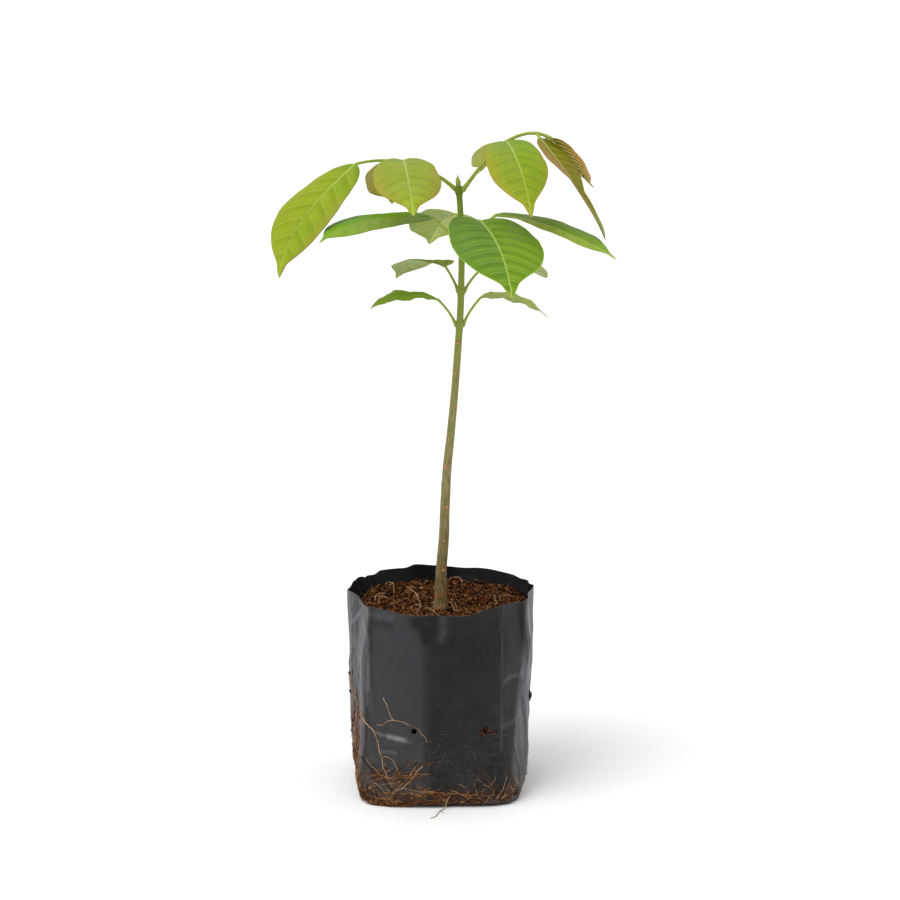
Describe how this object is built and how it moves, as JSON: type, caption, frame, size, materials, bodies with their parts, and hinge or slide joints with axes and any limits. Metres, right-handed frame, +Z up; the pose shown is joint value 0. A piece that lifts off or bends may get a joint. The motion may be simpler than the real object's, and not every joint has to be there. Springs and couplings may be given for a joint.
{
  "type": "potted walnut seedling",
  "caption": "Slender fruit tree seedling with two arching compound leaves and tiers of simple leaves, growing in a soft black nursery bag of coir.",
  "frame": {"origin": "middle of the bag's flat underside, where the bag rests", "axes": "+Z up along the plant, +X to the right and +Y away from the front of the picture"},
  "size_m": [0.2677, 0.2698, 0.5305],
  "materials": {
    "bag_film": "satin black polythene film, creased and dusty low down",
    "coir": "rough reddish-brown coir fibre",
    "stem_bark": "smooth green young bark, olive-brown towards the foot",
    "bud": "matt green bud scales",
    "green_stalk": "smooth yellow-green stalk",
    "leaf_young": "satin yellow-green leaf",
    "leaf_bronze": "satin bronze-brown young leaf",
    "leaf_mature": "satin mid-green leaf with pale veins",
    "leaf_small": "satin grey-green leaf",
    "root": "fibrous orange-brown root"
  },
  "bodies": {
    "root": {"nursery_bag": "bag_film", "soil": "coir", "stem": "stem_bark", "terminal_bud": "bud", "rachis_left": "green_stalk", "rachis_right": "green_stalk", "leaflet_left_end": "leaf_young", "leaflet_left_front": "leaf_young", "leaflet_left_back": "leaf_bronze", "leaflet_right_front": "leaf_young", "leaflet_right_back": "leaf_young", "leaflet_right_end_back": "leaf_bronze", "leaflet_right_end_front": "leaf_bronze", "leaf_middle_left": "leaf_mature", "leaf_middle_back": "leaf_mature", "leaf_middle_front": "leaf_mature", "leaf_middle_right": "leaf_mature", "leaf_low_left": "leaf_small", "leaf_low_right": "leaf_small", "leaf_bottom_left": "leaf_small", "leaf_bottom_right": "leaf_small", "root_left": "root", "root_left_fork": "root", "root_front": "root", "root_front_foot": "root"}
  },
  "joints": []
}
